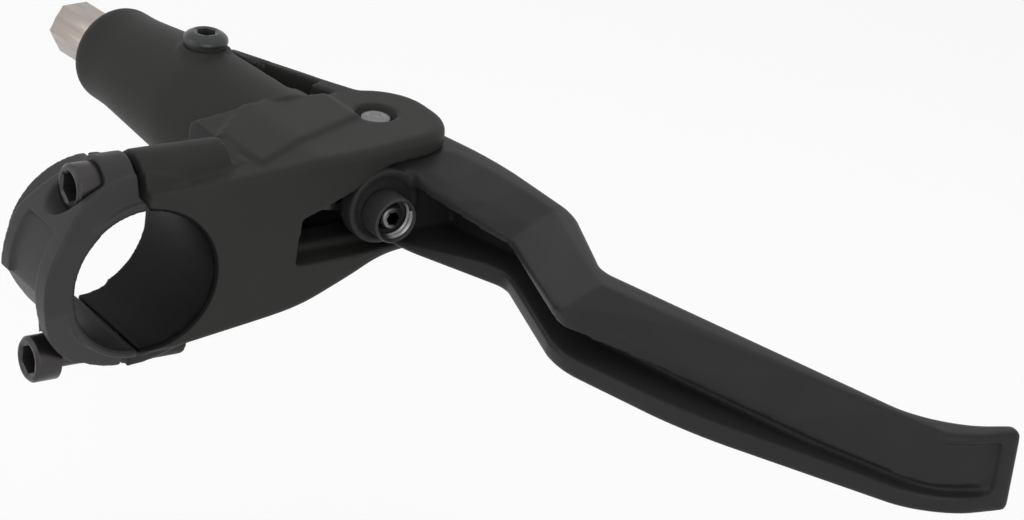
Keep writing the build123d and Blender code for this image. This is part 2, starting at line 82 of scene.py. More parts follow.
def linear(hex_colour: str) -> tuple[float, float, float, float]:
    """Turns an sRGB hex colour into linear values.

    Args:
        hex_colour: colour as "#rrggbb".

    Returns:
        Red, green, blue and alpha for a shader socket.
    """
    parts = [int(hex_colour[i:i + 2], 16) / 255 for i in (1, 3, 5)]
    curve = [c / 12.92 if c <= 0.04045 else ((c + 0.055) / 1.055) ** 2.4 for c in parts]
    return (*curve, 1.0)


def add_node(tree: bpy.types.NodeTree, kind: str, values: dict | None = None, **settings) -> bpy.types.Node:
    """Adds one node, with its settings, and sets or links its inputs.

    Args:
        tree: node tree that gets the node.
        kind: Blender's name for the node type.
        values: input name or index to a value, or to an output socket that is linked to it.
        **settings: properties of the node itself.

    Returns:
        The new node.
    """
    node = tree.nodes.new(kind)
    for key, value in settings.items():
        setattr(node, key, value)
    for key, value in (values or {}).items():
        if isinstance(value, bpy.types.NodeSocket):
            tree.links.new(value, node.inputs[key])
        else:
            node.inputs[key].default_value = value
    return node


@dataclass(frozen=True)
class Finish:
    """One real material with the way its surface was made, and on some a painted shade in the handlebar's
    bore.

    Attributes:
        name: name of the material.
        colour: main colour, as "#rrggbb".
        shade: colour of the soft clouds in it.
        roughness: middle of its roughness.
        metallic: 1 for bare metal.
        specular: strength of the shine on what isn't bare metal.
        grain_mm: size of the grain.
        bump: strength of the grain's relief.
        turned: draws the grain out into tool rings.
        bore: radius round the handlebar within which painted shade takes over the colour, 0 for none, and the
            colour of that shade.
    """

    name: str
    colour: str
    shade: str
    roughness: float
    metallic: float = 0.0
    specular: float = 0.5
    grain_mm: float = 0.4
    bump: float = 0.1
    turned: bool = False
    bore: tuple[float, str] = (0.0, "#000000")

    def paint_bore_shade(self, tree: bpy.types.NodeTree, outside: bpy.types.NodeSocket) -> bpy.types.NodeSocket:
        """Paints shade into the inside of the handlebar's bore, which runs along X.

        Args:
            tree: the material's nodes.
            outside: colour everywhere else.

        Returns:
            The colour of the whole piece.
        """
        radius, colour = self.bore
        where = add_node(tree, "ShaderNodeTexCoord").outputs["Object"]
        across = add_node(tree, "ShaderNodeVectorMath", {0: where, 1: (0.0, 1.0, 1.0)}, operation="MULTIPLY")
        far = add_node(tree, "ShaderNodeVectorMath", {0: across.outputs["Vector"]}, operation="LENGTH")
        share = add_node(tree, "ShaderNodeMapRange", {"Value": far.outputs["Value"], "From Min": radius * MM,
                                                      "From Max": (radius + BORE_SHADE_FADE) * MM})
        mixed = add_node(tree, "ShaderNodeMix", {"Factor": share.outputs["Result"], 6: linear(colour),
                                                 7: outside}, data_type="RGBA")
        return mixed.outputs[2]

    def material(self) -> bpy.types.Material:
        """Returns the finish's material, made on its first use."""
        if self.name in bpy.data.materials:
            return bpy.data.materials[self.name]
        material = bpy.data.materials.new(self.name)
        material.use_nodes = True
        tree = material.node_tree
        shader = tree.nodes["Principled BSDF"]
        shader.inputs["Metallic"].default_value = self.metallic
        shader.inputs["Specular IOR Level"].default_value = self.specular
        where = add_node(tree, "ShaderNodeTexCoord").outputs["Object"]
        if self.turned:
            stretch = add_node(tree, "ShaderNodeMapping", {"Vector": where, "Scale": RING_STRETCH})
            where = stretch.outputs["Vector"]
        fine = add_node(tree, "ShaderNodeTexNoise", {"Vector": where, "Scale": 1 / (self.grain_mm * MM),
                                                     "Detail": GRAIN_DETAIL, "Roughness": GRAIN_ROUGHNESS})
        cloud = add_node(tree, "ShaderNodeTexNoise", {"Vector": where, "Scale": 1 / (CLOUD_MM * MM),
                                                      "Detail": CLOUD_DETAIL})
        mixed = add_node(tree, "ShaderNodeMix", {"Factor": cloud.outputs["Fac"], 6: linear(self.colour),
                                                 7: linear(self.shade)}, data_type="RGBA")
        rough = add_node(tree, "ShaderNodeMapRange", {
            "Value": fine.outputs["Fac"], "To Min": self.roughness - ROUGHNESS_SPREAD,
            "To Max": self.roughness + ROUGHNESS_SPREAD})
        bump = add_node(tree, "ShaderNodeBump", {"Height": fine.outputs["Fac"], "Strength": self.bump,
                                                 "Distance": BUMP_MM * MM})
        # painted shade darkens the bore where the finish has one
        colour = self.paint_bore_shade(tree, mixed.outputs[2]) if self.bore[0] else mixed.outputs[2]
        tree.links.new(colour, shader.inputs["Base Color"])
        tree.links.new(rough.outputs["Result"], shader.inputs["Roughness"])
        tree.links.new(bump.outputs["Normal"], shader.inputs["Normal"])
        return material


# Glass-filled nylon, moulded: satin charcoal with a fine spark-eroded grain and soft wide highlights,
# with painted shade, near black, in the clamp's bore.
NYLON = Finish("glass_filled_nylon_moulded", "#2d2e2c", "#292a28", 0.5, specular=0.08, grain_mm=0.35,
               bump=0.18, bore=(11.5, "#050505"))
# Forged aluminium, blasted and black anodised: even dark satin, brighter at grazing angles.
ANODISED = Finish("aluminium_black_anodised", "#292929", "#242424", 0.4, specular=0.1, grain_mm=0.25,
                  bump=0.08)
# Die-cast aluminium, black anodised: a little paler and duller than the lever,
# with painted shade darker in the bore.
CAST = Finish("aluminium_cast_black", "#313031", "#2a2a2a", 0.46, specular=0.2, grain_mm=0.3, bump=0.12,
              bore=(11.5, "#1f1f1f"))
# Steel with black oxide: dark grey metal with an oily sheen.
BLACK_OXIDE = Finish("steel_black_oxide", "#454344", "#383637", 0.36, metallic=0.9, grain_mm=0.2, bump=0.05)
# Turned steel: bright, with fine tool rings.
STEEL = Finish("steel_turned", "#b9b8b4", "#a5a4a0", 0.28, metallic=1.0, grain_mm=0.15, turned=True)
# Turned steel, phosphated: grey with a soft glint, as on the pivot and the reach thread.
DULL_STEEL = Finish("steel_turned_phosphated", "#7c7b7c", "#696869", 0.3, metallic=1.0, grain_mm=0.15,
                    turned=True)
# Nickel-plated steel: warm silver, soft mirror.
NICKEL = Finish("steel_nickel_plated", "#a89f99", "#958d87", 0.32, metallic=1.0, grain_mm=0.4, bump=0.04)
# Turned aluminium, clear anodised: pale grey, silky.
ALUMINIUM = Finish("aluminium_turned", "#bdbdbb", "#adadab", 0.34, metallic=1.0, grain_mm=0.2, turned=True)
# Aluminium, dark anodised: a slightly green black, on the bleed screw and the rocker.
DARK_ANODISED = Finish("aluminium_dark_anodised", "#2c322e", "#232825", 0.33, metallic=0.3, grain_mm=0.25,
                       bump=0.06)
# Brass, turned: warm yellow.
BRASS = Finish("brass_turned", "#b59a5a", "#a1874a", 0.3, metallic=1.0, grain_mm=0.2, turned=True)
# Nitrile rubber, moulded: matt black.
RUBBER = Finish("nitrile_rubber_moulded", "#1b1b1a", "#161615", 0.68, grain_mm=0.3)


def finish_mesh(mesh: bpy.types.Mesh, finish: Finish, name: str, body: Body,
                replaced: tuple[str, ...] = ()) -> None:
    """Puts a mesh into the scene as a piece of the object.

    Args:
        mesh: mesh in metres, in the CAD frame.
        finish: its finish.
        name: name of the piece.
        body: moving body that carries it.
        replaced: CAD nodes that it stands for.
    """
    mesh.materials.append(finish.material())
    piece = bpy.data.objects.new(name, mesh)
    bpy.context.collection.objects.link(piece)
    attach(piece, body.value)
    if replaced:
        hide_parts(*replaced)
    LOG.info("%s: %d faces on %s", name, len(mesh.polygons), body.value)


class View(Enum):
    """Side from which an outline is drawn, as the turn from outline and height to the frame's axes."""

    TOP = Matrix(((1, 0, 0), (0, 1, 0), (0, 0, 1)))
    SIDE = Matrix(((0, 0, 1), (1, 0, 0), (0, 1, 0)))
    REAR = Matrix(((1, 0, 0), (0, 0, 1), (0, 1, 0)))


class Fit(str, Enum):
    """How two work pieces are put together."""

    CUT = "DIFFERENCE"
    JOIN = "UNION"
    KEEP = "INTERSECT"


class Blank:
    """Work piece in metres that is cut and joined like stock on a bench, then softened into a mesh."""

    def __init__(self, work: bmesh.types.BMesh) -> None:
        """Takes over a closed bmesh.

        Args:
            work: skin in metres with its normals outwards, freed here.
        """
        bmesh.ops.remove_doubles(work, verts=work.verts, dist=WELD)
        mesh = bpy.data.meshes.new("blank")
        work.to_mesh(mesh)
        work.free()
        self.carrier = bpy.data.objects.new("blank", mesh)
        bpy.context.collection.objects.link(self.carrier)

    @classmethod
    def of_node(cls, node: str) -> "Blank":
        """Starts from a copy of a CAD node's mesh.

        Args:
            node: name of the node.

        Returns:
            The copy.
        """
        work = bmesh.new()
        work.from_mesh(frame["nodes"][node].data)
        return cls(work)

    @classmethod
    def prism(cls, corners: Outline, low: float, high: float, view: View = View.TOP) -> "Blank":
        """Raises an outline into a straight-sided block.

        Args:
            corners: outline in millimetres.
            low: where the block starts along the view.
            high: where it ends.
            view: side from which the outline is drawn.

        Returns:
            The block.
        """
        work = bmesh.new()
        verts = [work.verts.new((x, y, low)) for x, y, _ in corners]
        edges = [work.edges.new((verts[i - 1], verts[i])) for i in range(len(verts))]
        bmesh.ops.edgeloop_fill(work, edges=edges)
        turns = [(vert.co - before.co).angle(after.co - vert.co)
                 for before, vert, after in zip(verts[-1:] + verts, verts, verts[1:] + verts[:1])]
        for vert, turn, (_, _, radius) in zip(verts, turns, corners):
            if radius:
                bmesh.ops.bevel(work, geom=[vert], offset=radius * math.tan(turn / 2), offset_type="OFFSET",
                                segments=CORNER_STEPS, profile=0.5, affect="VERTICES", material=-1,
                                clamp_overlap=True)
        raised = bmesh.ops.extrude_face_region(work, geom=list(work.faces), use_keep_orig=True)
        top = [item for item in raised["geom"] if isinstance(item, bmesh.types.BMVert)]
        bmesh.ops.translate(work, verts=top, vec=(0, 0, high - low))
        bmesh.ops.transform(work, matrix=Matrix.Scale(MM, 4) @ view.value.to_4x4(), verts=work.verts)
        bmesh.ops.recalc_face_normals(work, faces=work.faces)
        return cls(work)

    @classmethod
    def bar(cls, place: Matrix, radius: float, start: float, end: float) -> "Blank":
        """Makes a round bar along a place's own Z.

        Args:
            place: matrix of its axis.
            radius: its radius in millimetres.
            start: where it starts along the axis.
            end: where it ends.

        Returns:
            The bar.
        """
        work = bmesh.new()
        add_rings(work, place, [(ROUND, radius, start), (ROUND, radius, end)])
        bmesh.ops.recalc_face_normals(work, faces=work.faces)
        return cls(work)

    def fit(self, other: "Blank", how: Fit) -> "Blank":
        """Cuts this piece by another, joins them or keeps what they share.

        Args:
            other: the other piece, which is used up.
            how: what is done.

        Returns:
            This piece.
        """
        edit = self.carrier.modifiers.new("fit", "BOOLEAN")
        edit.object, edit.operation, edit.solver = other.carrier, how.value, "EXACT"
        self.apply()
        bpy.data.objects.remove(other.carrier)
        return self

    def apply(self) -> None:
        """Makes the modifiers' result the piece's own mesh."""
        graph = bpy.context.evaluated_depsgraph_get()
        mesh = bpy.data.meshes.new_from_object(self.carrier.evaluated_get(graph))
        self.carrier.modifiers.clear()
        self.carrier.data = mesh

    def softened(self, name: str, voxel_mm: float, rounds: int) -> bpy.types.Mesh:
        """Rounds all edges as a mould or a forging does, and uses the piece up.

        Args:
            name: name of the mesh.
            voxel_mm: size of the remeshing cells.
            rounds: number of smoothing steps.

        Returns:
            A smooth-shaded mesh.
        """
        remesh = self.carrier.modifiers.new("cells", "REMESH")
        remesh.mode, remesh.voxel_size = "VOXEL", voxel_mm * MM
        smooth = self.carrier.modifiers.new("soften", "SMOOTH")
        smooth.factor, smooth.iterations = SMOOTHING, rounds
        self.apply()
        share = TRIANGLES / (2 * len(self.carrier.data.polygons))
        if share < 1:
            thin = self.carrier.modifiers.new("thin", "DECIMATE")
            thin.ratio = share
            self.apply()
        mesh = self.carrier.data
        bpy.data.objects.remove(self.carrier)
        mesh.name = name
        mesh.materials.clear()
        mesh.shade_smooth()
        return mesh


def oblong(low_x: float, high_x: float, low_y: float, high_y: float) -> Outline:
    """Returns an oblong's outline with sharp corners, by its sides in millimetres."""
    return ((low_x, low_y, 0.0), (high_x, low_y, 0.0), (high_x, high_y, 0.0), (low_x, high_y, 0.0))


def placed(origin_mm: Point, along: Point, across: Point) -> Matrix:
    """Makes the place of a turned piece.

    Args:
        origin_mm: where its own origin lies.
        along: direction of its own Z.
        across: direction near its own X.

    Returns:
        The matrix from the piece's own millimetres to the frame's metres.
    """
    axis = Vector(along).normalized()
    side = Vector(across)
    side = (side - side.dot(axis) * axis).normalized()
    turn = Matrix((side, axis.cross(side), axis)).transposed().to_4x4()
    return Matrix.Scale(MM, 4) @ Matrix.Translation(origin_mm) @ turn


def add_rings(work: bmesh.types.BMesh, place: Matrix, rings: list[tuple[int, float, float]],
              ring_like: bool = False) -> None:
    """Bridges a row of rings about one axis into a closed skin.

    Args:
        work: bmesh that gets the skin.
        place: matrix of the axis.
        rings: corners (ROUND or HEX), radius and height of each ring, in millimetres.
        ring_like: joins the last ring to the first, as on a sleeve, instead of closing both ends.
    """
    loops = []
    for corners, radius, height in rings:
        old = set(work.edges)
        bmesh.ops.create_circle(work, segments=corners, radius=radius, cap_ends=False,
                                matrix=place @ Matrix.Translation((0, 0, height)))
        if corners < ROUND:
            fresh = [edge for edge in work.edges if edge not in old]
            bmesh.ops.subdivide_edges(work, edges=fresh, cuts=ROUND // corners - 1)
        loops.append([edge for edge in work.edges if edge not in old])
    pairs = list(zip(loops, loops[1:]))
    if ring_like:
        pairs.append((loops[-1], loops[0]))
    for low, high in pairs:
        bmesh.ops.bridge_loops(work, edges=low + high)
    if not ring_like:
        bmesh.ops.holes_fill(work, edges=loops[0] + loops[-1], sides=0)


def add_thread(work: bmesh.types.BMesh, place: Matrix, root: float, crest: float, pitch: float, start: float,
               turns: float) -> None:
    """Winds a screw thread with a three-cornered section.

    Args:
        work: bmesh that gets the thread.
        place: matrix of its axis.
        root: radius of its foot.
        crest: radius of its edge, larger than the root on a screw and smaller in a bush.
        pitch: rise of one turn.
        start: height of its first turn.
        turns: number of turns.
    """
    corners = [work.verts.new((root, 0, start)), work.verts.new((crest, 0, start + THREAD_CREST * pitch)),
               work.verts.new((root, 0, start + THREAD_WIDTH * pitch))]
    sides = [work.edges.new((corners[i - 1], corners[i])) for i in range(len(corners))]
    steps = round(ROUND * turns)
    old = set(work.verts) - set(corners)
    bmesh.ops.spin(work, geom=corners + sides, cent=(0, 0, 0), axis=(0, 0, 1), dvec=(0, 0, pitch / ROUND),
                   angle=2 * math.pi * turns, steps=steps)
    fresh = [vert for vert in work.verts if vert not in old]
    ends = {edge for vert in fresh for edge in vert.link_edges if edge.is_boundary}
    bmesh.ops.holes_fill(work, edges=list(ends), sides=0)
    bmesh.ops.transform(work, matrix=place, verts=fresh)


def turned_mesh(work: bmesh.types.BMesh, name: str, break_mm: float) -> bpy.types.Mesh:
    """Closes a bmesh, breaks its sharp edges and makes it a mesh.

    Args:
        work: finished skin, freed here.
        name: name of the mesh.
        break_mm: width of the broken edges.

    Returns:
        A smooth-shaded mesh.
    """
    bmesh.ops.remove_doubles(work, verts=work.verts, dist=TURNED_WELD)
    bmesh.ops.recalc_face_normals(work, faces=work.faces)
    sharp = [edge for edge in work.edges if edge.is_manifold and edge.calc_face_angle() > SHARP]
    bmesh.ops.bevel(work, geom=sharp, offset=break_mm * MM, offset_type="OFFSET", segments=BREAK_STEPS,
                    profile=0.5, affect="EDGES", material=-1, clamp_overlap=True)
    mesh = bpy.data.meshes.new(name)
    work.to_mesh(mesh)
    work.free()
    mesh.shade_smooth()
    mesh.set_sharp_from_angle(angle=SHARP)
    return mesh


@dataclass
class Cylinder:
    """Axis of the master cylinder, from the lever's foot inboard."""

    foot: Point = (-2.7242, 34.5477, 7.0)
    tilt_deg: float = 5.6

    def axis(self) -> Matrix:
        """Returns the cylinder's place."""
        tilt = math.radians(self.tilt_deg)
        return placed(self.foot, (-math.cos(tilt), -math.sin(tilt), 0.0), Z_AXIS)


@dataclass
class Housing:
    """Master cylinder housing with its clamp cap, in millimetres."""

    body_voxel_mm: float = 0.36
    cap_voxel_mm: float = 0.26
    rounds: int = 6
    # Rib from the bleed boss to the fork, and the pocket between it and the reservoir
    rib: Outline = ((-34.94, 37.42, 0.0), (-34.26, 35.98, 0.0), (-14.26, 45.48, 0.0), (-14.94, 46.92, 0.0))
    rib_z: tuple[float, float] = (9.0, 15.8)
    rib_pocket: Outline = ((-35.0, 34.9, 0.0), (-15.6, 35.9, 0.0), (-17.4, 42.6, 0.0))
    pocket_floor: float = 9.0
    reservoir_r: float = 8.7
    # What is taken off the end of the upper screw's tower
    tower_trim: Outline = ((15.2, 14.9, 0.0), (19.0, 15.6, 0.0), (19.0, 20.0, 0.0), (15.2, 20.0, 0.0))
    tower_side: float = 5.0
    # Room for the lower screw's key and the sunk panel, both in the cap
    key_room: Outline = ((-20.0, 0.0, 0.0), (-15.2, -1.0, 0.0), (-13.4, -4.2, 0.0), (-11.9, -6.3, 0.0),
                         (-10.4, -7.6, 0.0), (-10.4, -20.0, 0.0), (-20.0, -20.0, 0.0))
    key_room_x: tuple[float, float] = (-14.0, 3.8)
    panel_r: tuple[float, float] = (15.3, 20.0)
    panel_x: tuple[float, float] = (-4.4, 3.8)
    panel_top: float = 8.6
    # Ring next to the handlebar
    bore_r: float = 11.1
    half_r: float = 12.4
    half_x: tuple[float, float] = (-12.8, 7.0)
    split: float = 0.2

    @staticmethod
    def bar_axis() -> Matrix:
        """Returns the handlebar's place."""
        return placed(ORIGIN, X_AXIS, Z_AXIS)

    def half_ring(self, front: bool) -> Blank:
        """Makes the part of one clamp half that lies next to the handlebar.

        Args:
            front: makes the housing's half, ahead of the split, and not the cap's.

        Returns:
            The half ring.
        """
        reach = 3 * OPEN
        ring = Blank.bar(self.bar_axis(), self.half_r, *self.half_x)
        ring.fit(Blank.bar(self.bar_axis(), self.bore_r, -reach, reach), Fit.CUT)
        near, far = (self.split, reach) if front else (-reach, -self.split)
        return ring.fit(Blank.prism(oblong(near, far, -reach, reach), -reach, reach, View.SIDE), Fit.KEEP)

    def body(self) -> bpy.types.Mesh:
        """Returns the body with its rib's pocket sunk and its screw tower shortened."""
        pocket = Blank.prism(self.rib_pocket, self.pocket_floor, 3 * OPEN)
        pocket.fit(Blank.bar(Cylinder().axis(), self.reservoir_r, 0.0, 6 * OPEN), Fit.CUT)
        tower = Blank.prism(self.tower_trim, -self.tower_side, self.tower_side, View.SIDE)
        body = Blank.of_node("master_body").fit(pocket, Fit.CUT).fit(tower, Fit.CUT)
        body.fit(Blank.prism(self.rib, *self.rib_z), Fit.JOIN).fit(self.half_ring(True), Fit.JOIN)
        return body.softened("housing_moulding", self.body_voxel_mm, self.rounds)

    def cap(self) -> bpy.types.Mesh:
        """Returns the cap with the room for the lower screw's key and its sunk panel."""
        reach = 2 * OPEN
        low, high = self.panel_r
        panel = Blank.bar(self.bar_axis(), high, *self.panel_x)
        panel.fit(Blank.bar(self.bar_axis(), low, -reach, reach), Fit.CUT)
        above = oblong(-3 * OPEN, 3 * OPEN, self.panel_top, 3 * OPEN)
        panel.fit(Blank.prism(above, -reach, reach, View.SIDE), Fit.CUT)
        room = Blank.prism(self.key_room, *self.key_room_x, View.SIDE)
        cap = Blank.of_node("clamp_cap").fit(panel, Fit.CUT).fit(room, Fit.CUT)
        cap.fit(self.half_ring(False), Fit.JOIN)
        return cap.softened("clamp_cap_cast", self.cap_voxel_mm, self.rounds)

    def build(self) -> None:
        """Makes the moulded body and the clamp cap."""
        finish_mesh(self.body(), NYLON, "housing_moulding", Body.HOUSING, ("master_body",))
        finish_mesh(self.cap(), CAST, "clamp_cap_cast", Body.HOUSING, ("clamp_cap",))


@dataclass
class ClampScrews:
    """The two socket-head screws of the handlebar clamp, in millimetres along each screw from the split."""

    heights: tuple[float, float] = (13.4, -13.4)
    seats: tuple[float, float] = (5.5, 10.4)
    shank_r: float = 1.9
    shank_end: float = 10.0
    head_r: float = 3.49
    head_l: float = 4.0
    head_edge: float = 0.45
    key: float = 4.0
    key_deep: float = 2.4
    key_edge: float = 0.3
    edge_break: float = 0.08

    def rings(self, seat: float) -> list[tuple[int, float, float]]:
        """Lists the rings of one screw.

        Args:
            seat: from the split to the head.

        Returns:
            The rings from its tip to the floor of its socket.
        """
        end = -seat - self.head_l
        corner = self.key / math.sqrt(3)
        return [(ROUND, self.shank_r - self.head_edge, self.shank_end),
                (ROUND, self.shank_r, self.shank_end - self.head_edge), (ROUND, self.shank_r, -seat),
                (ROUND, self.head_r, -seat), (ROUND, self.head_r, end + self.head_edge),
                (ROUND, self.head_r - self.head_edge, end), (ROUND, corner + self.key_edge, end),
                (HEX, corner, end + self.key_edge), (HEX, corner, end + self.key_deep)]

    def build(self) -> None:
        """Makes both screws as one piece."""
        work = bmesh.new()
        for height, seat in zip(self.heights, self.seats):
            add_rings(work, placed((0.0, 0.0, height), Y_AXIS, X_AXIS), self.rings(seat))
        finish_mesh(turned_mesh(work, "clamp_screws", self.edge_break), BLACK_OXIDE,
                    "clamp_screws_socket_head", Body.HOUSING, ("clamp_screws",))


@dataclass
class HoseNut:
    """Hexagonal nut at the end of the cylinder, in millimetres along the cylinder from the lever's foot."""

    bore_r: float = 2.55
    thread_r: float = 4.0
    start: float = 54.6
    flange: float = 57.42
    end: float = 68.8
    flats: float = 8.0
    chamfer: float = 0.5
    edge_break: float = 0.12

    def build(self) -> None:
        """Makes the nut with its chamfered ends and its bore."""
        corner = self.flats / math.sqrt(3)
        face = self.flats / 2 - self.chamfer / 2
        rings = [(ROUND, self.bore_r, self.start), (ROUND, self.thread_r - self.chamfer, self.start),
                 (ROUND, self.thread_r, self.start + self.chamfer), (ROUND, self.thread_r, self.flange),
                 (HEX, corner, self.flange + self.chamfer), (HEX, corner, self.end - self.chamfer),
                 (ROUND, face, self.end), (ROUND, self.bore_r + self.chamfer, self.end),
                 (ROUND, self.bore_r, self.end - self.chamfer)]
        work = bmesh.new()
        add_rings(work, Cylinder().axis(), rings, ring_like=True)
        finish_mesh(turned_mesh(work, "hose_nut", self.edge_break), NICKEL, "hose_nut_hex", Body.HOUSING,
                    ("hose_nut",))


@dataclass
class BleedScrew:
    """Domed screw on the bleed boss, in millimetres, heights in the part's frame."""

    place: tuple[float, float] = (-33.974, 31.483)
    foot: float = 15.2
    seat: float = 18.12
    top: float = 19.72
    shank_r: float = 2.0
    head_r: float = 3.6
    # Dome from its rim up, as shares of the head's radius and height
    dome: tuple[tuple[float, float], ...] = (
        (1.0, 0.2), (0.96, 0.45), (0.86, 0.68), (0.72, 0.87), (0.58, 1.0))
    foot_edge: float = 0.4
    key: float = 2.8
    key_deep: float = 1.2
    key_edge: float = 0.15
    edge_break: float = 0.06

    def build(self) -> None:
        """Makes the screw with its dome and hexagonal socket."""
        corner = self.key / math.sqrt(3)
        rise = self.top - self.seat
        rings = [(ROUND, self.shank_r - self.foot_edge, self.foot),
                 (ROUND, self.shank_r, self.foot + self.foot_edge), (ROUND, self.shank_r, self.seat),
                 (ROUND, self.head_r, self.seat)]
        rings += [(ROUND, self.head_r * out, self.seat + rise * up) for out, up in self.dome]
        rings += [(HEX, corner, self.top - self.key_edge), (HEX, corner, self.top - self.key_deep)]
        work = bmesh.new()
        add_rings(work, placed((*self.place, 0.0), Z_AXIS, X_AXIS), rings)
        finish_mesh(turned_mesh(work, "bleed_screw", self.edge_break), DARK_ANODISED, "bleed_screw_domed",
                    Body.HOUSING, ("bleed_screw",))


@dataclass
class PivotPin:
    """Lever pivot with a domed head in its recess, in millimetres, heights in the part's frame."""

    place: tuple[float, float] = (-3.7, 44.5)
    radius: float = 2.5
    foot_edge: float = 0.4
    edge_break: float = 0.06
    low: float = -3.8
    groove: tuple[float, float] = (-2.6, -2.0)
    groove_r: float = 1.9
    rim: float = 15.4
    # Dome from its rim to the dimple in its middle, as a share of the radius and a height
    dome: tuple[tuple[float, float], ...] = (
        (0.97, 0.2), (0.84, 0.45), (0.62, 0.62), (0.42, 0.7), (0.26, 0.45))

    def build(self) -> None:
        """Makes the pin with its clip groove and its dimpled dome."""
        low, high = self.groove
        rings = [(ROUND, self.radius - self.foot_edge, self.low),
                 (ROUND, self.radius, self.low + self.foot_edge), (ROUND, self.radius, low),
                 (ROUND, self.groove_r, low), (ROUND, self.groove_r, high), (ROUND, self.radius, high),
                 (ROUND, self.radius, self.rim)]
        rings += [(ROUND, self.radius * out, self.rim + up) for out, up in self.dome]
        work = bmesh.new()
        add_rings(work, placed((*self.place, 0.0), Z_AXIS, X_AXIS), rings)
        finish_mesh(turned_mesh(work, "pivot_pin", self.edge_break), DULL_STEEL, "pivot_pin_domed",
                    Body.HOUSING, ("pivot_pin",))


@dataclass
class Lever:
    """Lever blade, in millimetres about its pivot: X out along the blade, Y forwards."""

    voxel_mm: float = 0.34
    rounds: int = 9
    pivot: tuple[float, float] = (-3.7, 44.5)
    low: float = 1.0
    top: float = 13.0
    edge: float = 0.8
    level_play: float = 0.01
    # Plan of the whole blade, and what is taken off above its lower flange and at its root
    outline: Outline = (
        (113.3, 31.0, 1.1), (109.4, 20.7, 14.0), (53.3, 5.6, 6.0), (35.4, 13.2, 14.0), (14.7, 13.0, 60.0),
        (-8.4, 7.9, 7.8), (-8.4, -8.6, 7.8), (17.0, -3.8, 20.0), (33.6, 3.3, 5.0), (57.8, -4.6, 14.0),
        (80.7, 1.5, 60.0), (113.6, 18.6, 14.0), (116.0, 30.4, 1.1))
    rear_trim: Outline = ((57.8, -4.2, 0.0), (73.7, 2.9, 0.0), (112.0, 18.6, 0.0), (112.0, -10.0, 0.0),
                          (57.8, -10.0, 0.0))
    root_trim: Outline = ((33.6, 3.3, 0.0), (12.4, -1.2, 0.0), (12.4, -20.0, 0.0), (33.6, -20.0, 0.0))
    root_level: float = 7.0
    flange: float = 4.0
    # Sections of the sloping top: X, Y of the crest, Y and Z of the fold, Y and Z of the rear lip
    roll: tuple[tuple[float, float, float, float, float, float], ...] = (
        (10.0, 8.0, 0.0, 12.8, -7.0, 12.4), (17.0, 9.5, 2.5, 11.6, -3.9, 9.9),
        (25.0, 10.3, 4.5, 11.4, -0.3, 9.5), (33.6, 10.6, 6.6, 11.3, 3.2, 9.4),
        (45.0, 6.4, 2.8, 11.2, -0.6, 9.3), (57.5, 2.4, -3.4, 10.4, -4.9, 9.2),
        (66.0, 5.0, 2.0, 11.8, -0.8, 9.1), (77.5, 9.0, 7.6, 12.7, 4.5, 8.8),
        (92.0, 13.4, 12.8, 12.8, 10.4, 7.0), (104.0, 17.2, 16.9, 12.8, 15.3, 5.2),
        (112.0, 20.0, 19.8, 12.8, 18.6, 4.4))
    roll_back: float = 8.0
    # Channel in the rear from above and from the rear, and the sunk end of the tip
    channel: Outline = (
        (12.4, 7.5, 0.0), (33.0, 8.7, 12.0), (54.5, 2.4, 12.0), (73.7, 7.0, 60.0), (93.7, 12.6, 40.0),
        (111.0, 19.6, 8.0), (113.6, 26.5, 0.0), (118.0, 26.5, 0.0), (118.0, 0.0, 0.0), (70.0, -20.0, 0.0),
        (12.4, -20.0, 0.0))
    channel_side: Outline = (
        (12.4, 2.4, 0.0), (17.0, 2.4, 0.0), (29.0, 4.0, 0.0), (100.0, 4.0, 0.0), (118.0, 3.7, 0.0),
        (118.0, 4.8, 0.0), (95.0, 5.4, 0.0), (80.0, 6.4, 0.0), (64.0, 7.4, 0.0), (52.0, 8.0, 0.0),
        (31.0, 8.2, 0.0), (12.4, 9.8, 0.0))
    tip_pocket: Outline = ((107.5, 16.6, 0.0), (111.6, 19.6, 4.0), (113.2, 23.0, 8.0), (114.3, 27.8, 0.0),
                           (118.0, 27.0, 0.0), (117.0, 16.0, 0.0))
    tip_wall: float = 1.4
    # Hub round the pivot, and the dish that carries the reach screw
    hub_r: float = 5.8
    bush_r: float = 3.52
    cheek: float = 2.4
    dish: tuple[float, float] = (9.8, 12.4)
    dish_r: float = 6.0
    dish_rim: float = 1.1
    dish_rise: float = 0.7
    dish_open: float = 4.0
    dish_back: float = 5.5
    dish_z: float = 7.0
    reach_z: float = 6.2
    reach_r: float = 3.12
    reach_start: float = 5.0

    def rounded(self) -> Blank:
        """Returns the whole blade with soft top and bottom edges."""
        blank = Blank.prism(self.outline, self.low, self.top)
        work = bmesh.new()
        work.from_mesh(blank.carrier.data)
        levels = (self.low * MM, self.top * MM)
        rims = [edge for edge in work.edges
                if any(all(abs(vert.co.z - level) < self.level_play * MM for vert in edge.verts)
                       for level in levels)]
        bmesh.ops.bevel(work, geom=rims, offset=self.edge * MM, offset_type="OFFSET", segments=RIM_STEPS,
                        profile=0.5, affect="EDGES", material=-1, clamp_overlap=True)
        bpy.data.objects.remove(blank.carrier)
        return Blank(work)

    def roll_space(self) -> Blank:
        """Returns the space over the blade's sloping top, whose rear part turns to a rear face at the tip."""
        work = bmesh.new()
        loops = []
        over = self.top + self.roll_back
        for x, crest, fold, fold_z, lip, lip_z in self.roll:
            back = lip - self.roll_back
            corners = ((crest, over), (crest, self.top), (fold, fold_z), (lip, lip_z), (back, lip_z),
                       (back, over))
            verts = [work.verts.new((x * MM, y * MM, z * MM)) for y, z in corners]
            loops.append([work.edges.new((verts[i - 1], verts[i])) for i in range(len(verts))])
        for near, far in zip(loops, loops[1:]):
            bmesh.ops.bridge_loops(work, edges=near + far)
        bmesh.ops.holes_fill(work, edges=loops[0] + loops[-1], sides=0)
        bmesh.ops.recalc_face_normals(work, faces=work.faces)
        return Blank(work)

